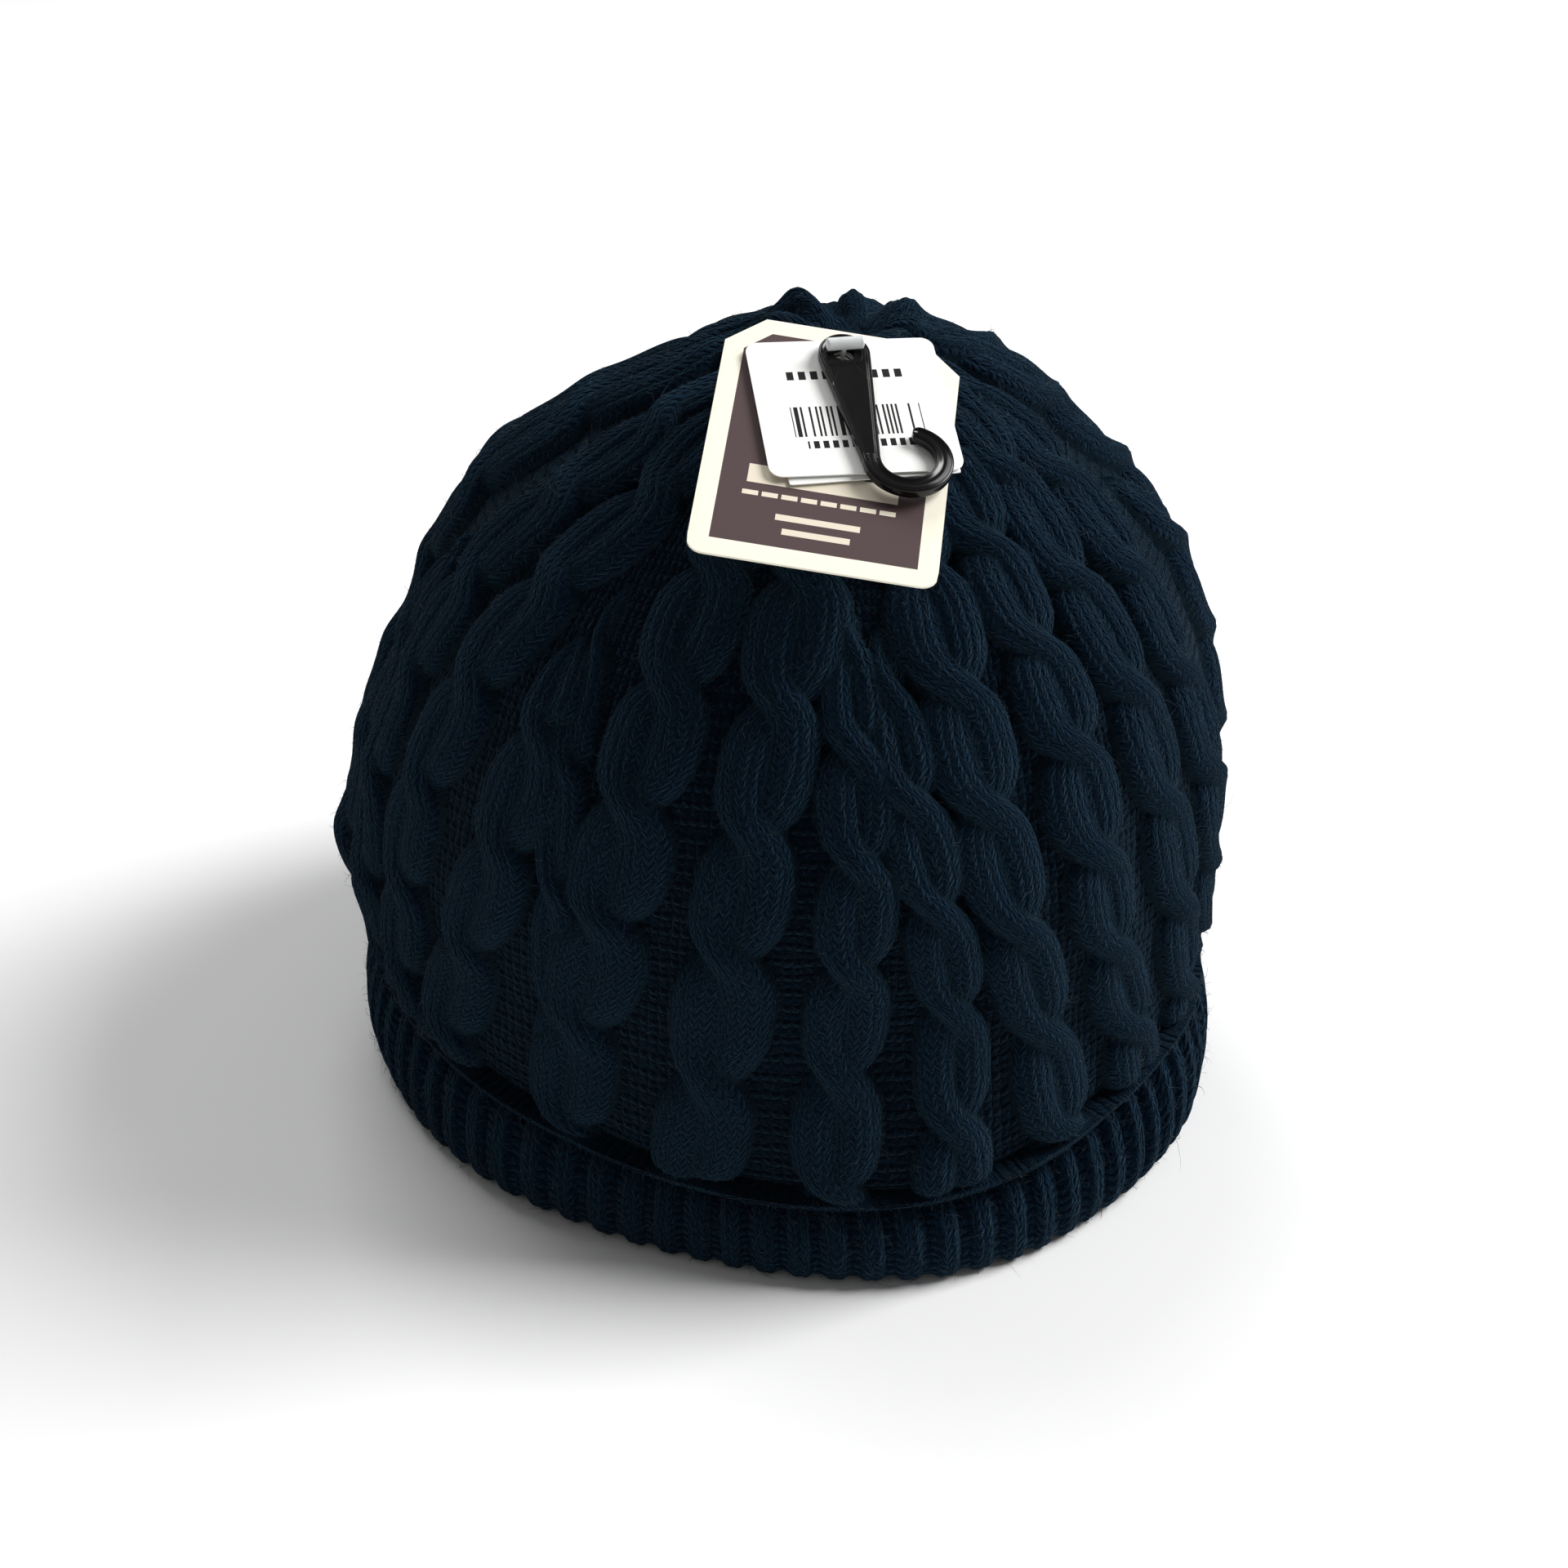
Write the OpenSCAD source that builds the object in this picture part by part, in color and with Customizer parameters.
// Cable-knit beanie with a ribbed band, and the tag set that hangs from its gathered top.
// Millimetres. Origin: middle of the head opening, on the plane that the rim rests on.
// +Z runs up to the gathered top, -Y is the front that carries the tags.

/* [Crown] */
// Height of the gathered top above the rim
crown_height = 174; // [155:1:195]
// Radius of the crown where it is widest
crown_radius = 97.3; // [90:0.1:106]
// Height at which the crown is widest
widest_height = 56; // [46:1:66]
// Height of the lip that hangs over the rib band, at the front
lip_height = 18; // [16:0.5:20]
// How much higher that lip is at the sides and back
lip_side_rise = 13; // [0:1:16]
// Thickness of the knitted fabric, cables included
knit_thickness = 5; // [4:0.25:6]
// How far the gathered top leans to the wearer's side
top_lean = 15; // [0:1:20]
// How far the gathered top lies in front of the middle
top_forward = 21; // [0:1:24]
// Share by which the head opening is longer than round
oval_share = 0.07; // [0:0.01:0.09]
// Direction of the long side of the oval
oval_turn = 129; // [0:1:179]

/* [Rib band] */
// Radius of the outermost roll of the band
band_radius = 98; // [92:0.1:104]
// How far the band reaches up inside the crown's lip
band_lap = 7; // [5:0.5:9]
// Thickness of the ribbed fabric
band_thickness = 5; // [4:0.25:6]

/* [Finishing] */
// Radius of the ring of yarn that draws the top closed
gather_radius = 6; // [4:0.5:9]
// Diameter of the gathering yarn
yarn_diameter = 2.2; // [1.6:0.1:3]
// Width of the closing seam inside the back
seam_width = 5; // [3:0.5:8]
// How far the closing seam stands proud inside
seam_height = 1.6; // [1:0.1:2.5]
// Width of the sewn-in label
label_width = 24; // [16:1:30]
// Length of the sewn-in label
label_length = 30; // [24:1:32]
// Thickness of the folded label
label_thickness = 0.6; // [0.4:0.1:1]

/* [Tag set] */
// Sideways place of the pin in the crown
pin_x = 13; // [8:0.5:20]
// Front-to-back place of the pin in the crown
pin_y = -43; // [-46:0.5:-38]
// Slope of the tags on the crown
tag_slope = 27; // [24:1:30]
// Turn of the tags' downhill direction about the vertical
tag_turn = 13; // [0:1:20]
// Height of the lowest tag above the knit at the pin
tag_clearance = 4; // [3.5:0.1:6]
// Free gap between the layers of the tag set
layer_gap = 0.3; // [0.3:0.05:0.6]
// Radius of the hole in each card
card_hole_radius = 2; // [1.6:0.1:2.4]

/* [Hang tag] */
// Width of the hang tag
tag_width = 44; // [40:0.5:56]
// Length of the hang tag
tag_length = 59.5; // [56:0.5:72]
// Distance from its top edge to its hole
tag_hole_drop = 8.5; // [7:0.1:13]
// Size of the cut corners at its top
tag_chamfer = 7; // [5:0.5:12]
// Radius of its bottom corners
tag_corner = 3; // [1:0.5:5]
// Thickness of its board
tag_board = 0.6; // [0.4:0.05:0.9]
// Swing of the hang tag at rest
tag_swing = -18.5; // [-24:0.5:-10]

/* [Price cards] */
// Width of the price card
card_width = 35.5; // [32:0.5:42]
// Length of the price card
card_length = 33.5; // [30:0.5:40]
// Distance from its top edge to its hole
card_hole_drop = 4.8; // [4.2:0.1:6]
// Radius of its corners
card_corner = 2.5; // [1:0.25:4]
// Thickness of each price card
card_board = 0.35; // [0.25:0.05:0.6]
// Swing of the price card at rest
card_swing = -3; // [-6:0.5:6]
// Extra length of the card under it
under_extra = 0.75; // [0.5:0.25:3]
// How much narrower the card under it is
under_less = 4; // [0:0.5:6]
// Swing of the card under it at rest
under_swing = -0.5; // [-6:0.5:6]

/* [Display hook] */
// Radius of the rounded eye end
hook_eye_radius = 4.8; // [4:0.1:6]
// Radius of the eye's hole
hook_hole_radius = 2.1; // [1.6:0.1:2.6]
// Distance from the eye to the centre of the loop
hook_reach = 27.4; // [26:0.2:34]
// Outer radius of the open loop
loop_radius = 8.2; // [7:0.2:10]
// Width of the moulded band round the loop
loop_band = 3.2; // [2.2:0.1:3.4]
// Width of the neck above the loop
hook_neck = 3; // [2.4:0.1:4]
// Thickness of the moulding
hook_thickness = 2; // [1.6:0.1:2.6]
// Swing of the hook at rest
hook_swing = -1.8; // [-6:0.2:6]

/* [Tag pin] */
// Diameter of the pin's head bar
pin_bar_diameter = 2.4; // [2:0.1:3]
// Length of the pin's head bar
pin_bar_length = 7.2; // [6:0.2:9]
// Diameter of the pin's filament
filament_diameter = 1; // [0.8:0.05:1.2]
// Diameter of the bar inside the crown
anchor_diameter = 1.3; // [1:0.1:1.6]
// Length of the bar inside the crown
anchor_length = 9; // [7:0.5:12]
// Depth of that bar under the outside of the knit
anchor_depth = 9; // [8:0.5:12]

/* [Hidden] */

round_faces = 96;
crown_steps_round = 88;
crown_steps_outside = 32;
crown_steps_inside = 24;
lip_round = 3.2;
lower_power = 2.2;
lip_full_turn = 75;
dome_power_up = 0.9;
dome_power_in = 1.35;
inside_height = crown_height - knit_thickness;
yarn_overlap = 0.3;
seam_steps = 22;
seam_azimuth = 90;
seam_top_share = 0.8;
label_tilt = 9;
label_share = 0.083;
label_margin = 0.3;
band_tuck = knit_thickness + 0.4;
slab = 200;
layer_under = tag_clearance + tag_board + layer_gap;
layer_card = layer_under + card_board + layer_gap;
layer_hook = layer_card + card_board + layer_gap;
layer_bar = layer_hook + hook_thickness + layer_gap + pin_bar_diameter / 2;
filament_start = 0.6;
hook_eye_drop = 0.6;
loop_shift = 6.6;
loop_mouth = 72;
tip_radius = loop_band / 2 + 0.2;

// Centre line, oval share and outline of the crown at a height z.
function rise(z) = z / crown_height;
function lean_at(z) = [top_lean * pow(rise(z), 2), -top_forward * pow(rise(z), 4)];
function oval_at(z) = oval_share * (1 - rise(z));
function on_oval(r, z, azimuth) =
    let (a = azimuth - oval_turn,
         u = r * (1 + oval_at(z)) * cos(a),
         v = r * (1 - oval_at(z)) * sin(a))
    [lean_at(z)[0] + u * cos(oval_turn) - v * sin(oval_turn),
     lean_at(z)[1] + u * sin(oval_turn) + v * cos(oval_turn), z];

// Rise of the lip away from the front, and what it lifts: the crown above it, the band below it.
function lip_lift(azimuth) =
    let (from_front = abs(((azimuth + 90) % 360 + 540) % 360 - 180))
    lip_side_rise * pow(sin(min(from_front, lip_full_turn) * 90 / lip_full_turn), 2);
function lifted(p, azimuth) =
    let (share = p[2] < lip_height ? p[2] / lip_height
               : max(0, (widest_height - p[2]) / (widest_height - lip_height)))
    [p[0], p[1], p[2] + lip_lift(azimuth) * share];
function lapped(p, azimuth) =
    [p[0], p[1], p[2] + lip_lift(azimuth) * min(p[2] / lip_height, 1)];

// Radius of the lower crown, drawn in towards the lip, for a widest radius and its drawn-in share.
function lower_radius(z, widest) =
    widest - lip_round * pow((widest_height - z) / (widest_height - lip_height), lower_power);

// A profile point [radius, height] of a dome of the given widest radius and top, share 0 to 1.
function dome_point(share, widest, top) =
    [widest * pow(cos(90 * share), dome_power_in),
     widest_height + (top - widest_height) * pow(sin(90 * share), dome_power_up)];

// The whole profile: a third of the steps below the widest height, the rest above it.
function profile(steps, widest, top, foot) = [
    for (i = [0 : steps - 1])
        let (below = floor(steps / 3))
        i < below
            ? let (z = foot + (widest_height - foot) * i / below)
              [lower_radius(max(z, lip_height), widest), z]
            : dome_point((i - below) / (steps - below), widest, top)];

outside_foot = [[crown_radius - lip_round - knit_thickness / 2, lip_height - 0.3],
                [crown_radius - lip_round - 1, lip_height + 0.2]];
outside = concat(outside_foot, profile(crown_steps_outside, crown_radius, crown_height, lip_height + 1.6));
inside = profile(crown_steps_inside, crown_radius - knit_thickness, inside_height, lip_height);

// Height of the outside of the dome over a point, found by stepping the height four times.
function dome_height(r) =
    let (c = pow(min(r / crown_radius, 1), 1 / dome_power_in))
    widest_height + (crown_height - widest_height) * pow(sqrt(1 - c * c), dome_power_up);
function height_over(x, y, z = 160, tries = 4) =
    tries == 0 ? z : height_over(x, y, dome_height(norm([x, y] - lean_at(z))), tries - 1);

pin_base = [pin_x, pin_y, height_over(pin_x, pin_y)];

function crown_points(rings) = [
    for (p = rings) for (j = [0 : crown_steps_round - 1])
        let (azimuth = 360 * j / crown_steps_round)
        lifted(on_oval(p[0], p[1], azimuth), azimuth)];
function band_points(rings) = [
    for (p = rings) for (j = [0 : crown_steps_round - 1])
        let (azimuth = 360 * j / crown_steps_round)
        lapped(on_oval(p[0], p[1], azimuth), azimuth)];

module crown_knit() {
    n = crown_steps_round;
    outer = len(outside);
    inner = len(inside);
    start = outer * n;
    top_outside = start + inner * n;
    top_inside = top_outside + 1;
    points = concat(crown_points(outside), crown_points(inside),
                    [[top_lean, -top_forward, crown_height],
                     concat(lean_at(inside_height), inside_height)]);
    faces = concat(
        [for (i = [0 : outer - 2]) for (j = [0 : n - 1])
            let (k = (j + 1) % n) each [[i * n + j, (i + 1) * n + j, i * n + k],
                                        [i * n + k, (i + 1) * n + j, (i + 1) * n + k]]],
        [for (i = [0 : inner - 2]) for (j = [0 : n - 1])
            let (k = (j + 1) % n, s = start) each [[s + i * n + j, s + i * n + k, s + (i + 1) * n + j],
                                                   [s + i * n + k, s + (i + 1) * n + k, s + (i + 1) * n + j]]],
        [for (j = [0 : n - 1])
            let (k = (j + 1) % n) each [[j, k, start + j], [k, start + k, start + j]]],
        [for (j = [0 : n - 1])
            let (k = (j + 1) % n) [(outer - 1) * n + j, top_outside, (outer - 1) * n + k]],
        [for (j = [0 : n - 1])
            let (k = (j + 1) % n, s = start + (inner - 1) * n) [s + j, s + k, top_inside]]);
    color("#1c2427") polyhedron(points, faces);
}

// The band's section, from the flat of the rim, up the outside, inside the crown and back down.
function band_section(outer, hidden) = [
    [outer - 2.4, 0],
    [outer - 0.9, 1],
    [outer - 0.2, 3.4],
    [outer, 7],
    [outer - 0.6, 10.5],
    [outer - 1.8, 13.5],
    [outer - 3.4, 15.6],
    [hidden + 0.4, lip_height - 0.8],
    [hidden, lip_height + 1],
    [hidden, lip_height + band_lap],
    [hidden - band_thickness + 1.6, lip_height + band_lap],
    [hidden - band_thickness + 0.4, lip_height + band_lap - 3],
    [hidden - band_thickness + 0.2, lip_height - 2],
    [outer - band_thickness - 3.4, 7],
    [outer - band_thickness - 2.6, 1.4],
    [outer - band_thickness - 1.4, 0]];

module rib_band() {
    n = crown_steps_round;
    section = band_section(band_radius, crown_radius - lip_round - band_tuck + 0.7);
    m = len(section);
    faces = [for (i = [0 : m - 1]) for (j = [0 : n - 1])
        let (k = (j + 1) % n, l = (i + 1) % m)
        each [[i * n + j, l * n + j, i * n + k], [i * n + k, l * n + j, l * n + k]]];
    color("#1a2225") polyhedron(band_points(section), faces);
}

module gathering_yarn() {
    color("#1a2225")
        translate(concat(lean_at(inside_height), inside_height - yarn_diameter / 2 - yarn_overlap))
            rotate_extrude($fn = round_faces)
                translate([gather_radius, 0])
                    circle(d = yarn_diameter, $fn = round_faces / 4);
}

// The seam follows the inside of the crown up the back: four corners at each step.
module back_seam() {
    rings = profile(seam_steps * 2, crown_radius - knit_thickness, inside_height, lip_height);
    used = [for (i = [seam_steps / 2 : floor(seam_steps * 2 * seam_top_share)]) rings[i]];
    n = len(used);
    corners = [for (p = used) for (c = [[-1, 0], [1, 0], [1, 1], [-1, 1]])
        let (r = p[0] + yarn_overlap - c[1] * (seam_height + yarn_overlap),
             z = p[1] - c[1] * seam_height * rise(p[1]) * 0.8,
             q = lifted(on_oval(r, z, seam_azimuth), seam_azimuth))
        [q[0] + c[0] * seam_width / 2, q[1], q[2]]];
    sides = [for (i = [0 : n - 2]) for (j = [0 : 3])
        let (k = (j + 1) % 4) each [[i * 4 + j, i * 4 + k, (i + 1) * 4 + j],
                                    [i * 4 + k, (i + 1) * 4 + k, (i + 1) * 4 + j]]];
    ends = [[0, 2, 1], [0, 3, 2],
            [n * 4 - 4, n * 4 - 3, n * 4 - 2], [n * 4 - 4, n * 4 - 2, n * 4 - 1]];
    color("#141a1c") polyhedron(corners, concat(sides, ends));
}

// The label lies along the wall's own direction at the seam, so that both its top corners clear the knit.
module care_label() {
    inside = dome_point(label_share, crown_radius - knit_thickness, inside_height);
    wall = on_oval(inside[0], inside[1], seam_azimuth);
    run = on_oval(inside[0], inside[1], seam_azimuth - 7) - on_oval(inside[0], inside[1], seam_azimuth + 7);
    color("#e9e7e1")
        translate([wall[0], wall[1] - seam_height + label_margin, wall[2]])
            rotate([-label_tilt, 0, atan2(run[1], run[0])])
                translate([-label_width / 2, -label_thickness, -label_length])
                    cube([label_width, label_thickness, label_length]);
}

// Puts its children in the tags' own frame: x across, y up the slope, z away from the knit.
module on_tag_plane(height, swing = 0) {
    translate(pin_base)
        rotate([0, 0, tag_turn])
            rotate([tag_slope, 0, 0])
                translate([0, 0, height])
                    rotate([0, 0, swing])
                        children();
}

// A card outline whose hole is at the origin, with round corners and optional cut top corners.
module card_outline(width, length, drop, corner, chamfer) {
    low = drop - length;
    half = width / 2;
    difference() {
        union() {
            translate([-half, low + corner])
                square([width, length - corner - max(chamfer, corner)]);
            translate([corner - half, low])
                square([width - 2 * corner, corner]);
            for (side = [-1, 1])
                translate([side * (half - corner), low + corner])
                    circle(r = corner, $fn = round_faces / 2);
            if (chamfer > 0)
                polygon([[-half, drop - chamfer], [half, drop - chamfer],
                         [half - chamfer, drop], [chamfer - half, drop]]);
            else {
                translate([corner - half, drop - corner])
                    square([width - 2 * corner, corner]);
                for (side = [-1, 1])
                    translate([side * (half - corner), drop - corner])
                        circle(r = corner, $fn = round_faces / 2);
            }
        }
        circle(r = card_hole_radius, $fn = round_faces / 2);
    }
}

module hang_tag() {
    color("#54454a")
        on_tag_plane(tag_clearance, tag_swing)
            linear_extrude(tag_board)
                card_outline(tag_width, tag_length, tag_hole_drop, tag_corner, tag_chamfer);
}

module price_card_under() {
    color("#f2f1ec")
        on_tag_plane(layer_under, under_swing)
            linear_extrude(card_board)
                card_outline(card_width - under_less, card_length + under_extra, card_hole_drop, 0.4, 0);
}

module price_card() {
    color("#f7f6f2")
        on_tag_plane(layer_card, card_swing)
            linear_extrude(card_board)
                card_outline(card_width, card_length, card_hole_drop, card_corner, 0);
}

// A tapering eye end that runs down into an open loop curling to the right and back up.
module hook_outline() {
    loop = [loop_shift, -hook_reach];
    inner = loop_radius - loop_band;
    difference() {
        union() {
            translate([0, -hook_eye_drop])
                circle(r = hook_eye_radius, $fn = round_faces);
            polygon([[-hook_neck / 2, 4 - hook_reach], [loop[0] - loop_radius + 0.3, -hook_reach - 1],
                     [loop[0] - inner, -hook_reach - 1], [hook_neck / 2 + 0.4, 4 - hook_reach],
                     [hook_eye_radius, -hook_eye_drop], [-hook_eye_radius, -hook_eye_drop]]);
            difference() {
                translate(loop)
                    circle(r = loop_radius, $fn = round_faces);
                translate(loop)
                    circle(r = inner, $fn = round_faces);
                translate(loop)
                    polygon([[0, 0], [slab * cos(loop_mouth), slab * sin(loop_mouth)],
                             [-slab, slab], [-slab, 0]]);
            }
            translate([loop[0] + (loop_radius - tip_radius) * cos(loop_mouth),
                       loop[1] + (loop_radius - tip_radius) * sin(loop_mouth)])
                circle(r = tip_radius, $fn = round_faces / 2);
        }
        translate([0, -hook_eye_drop])
            circle(r = hook_hole_radius, $fn = round_faces / 2);
    }
}

module display_hook() {
    color("#0b0b0c")
        on_tag_plane(layer_hook, hook_swing)
            linear_extrude(hook_thickness)
                hook_outline();
}

module tag_pin_head() {
    color("#e8ecea")
        on_tag_plane(0) {
            translate([0, 0, filament_start])
                cylinder(d = filament_diameter, h = layer_bar - filament_start, $fn = round_faces / 3);
            translate([-pin_bar_length / 2, 0, layer_bar])
                rotate([0, 90, 0])
                    cylinder(d = pin_bar_diameter, h = pin_bar_length, $fn = round_faces / 2);
        }
}

module tag_pin_anchor() {
    color("#e8ecea")
        on_tag_plane(0) {
            translate([0, 0, -anchor_depth])
                cylinder(d = filament_diameter, h = anchor_depth + filament_start - layer_gap,
                         $fn = round_faces / 3);
            translate([-anchor_length / 2, 0, -anchor_depth])
                rotate([0, 90, 0])
                    cylinder(d = anchor_diameter, h = anchor_length, $fn = round_faces / 3);
        }
}

crown_knit();
rib_band();
gathering_yarn();
back_seam();
care_label();
hang_tag();
price_card_under();
price_card();
display_hook();
tag_pin_head();
tag_pin_anchor();
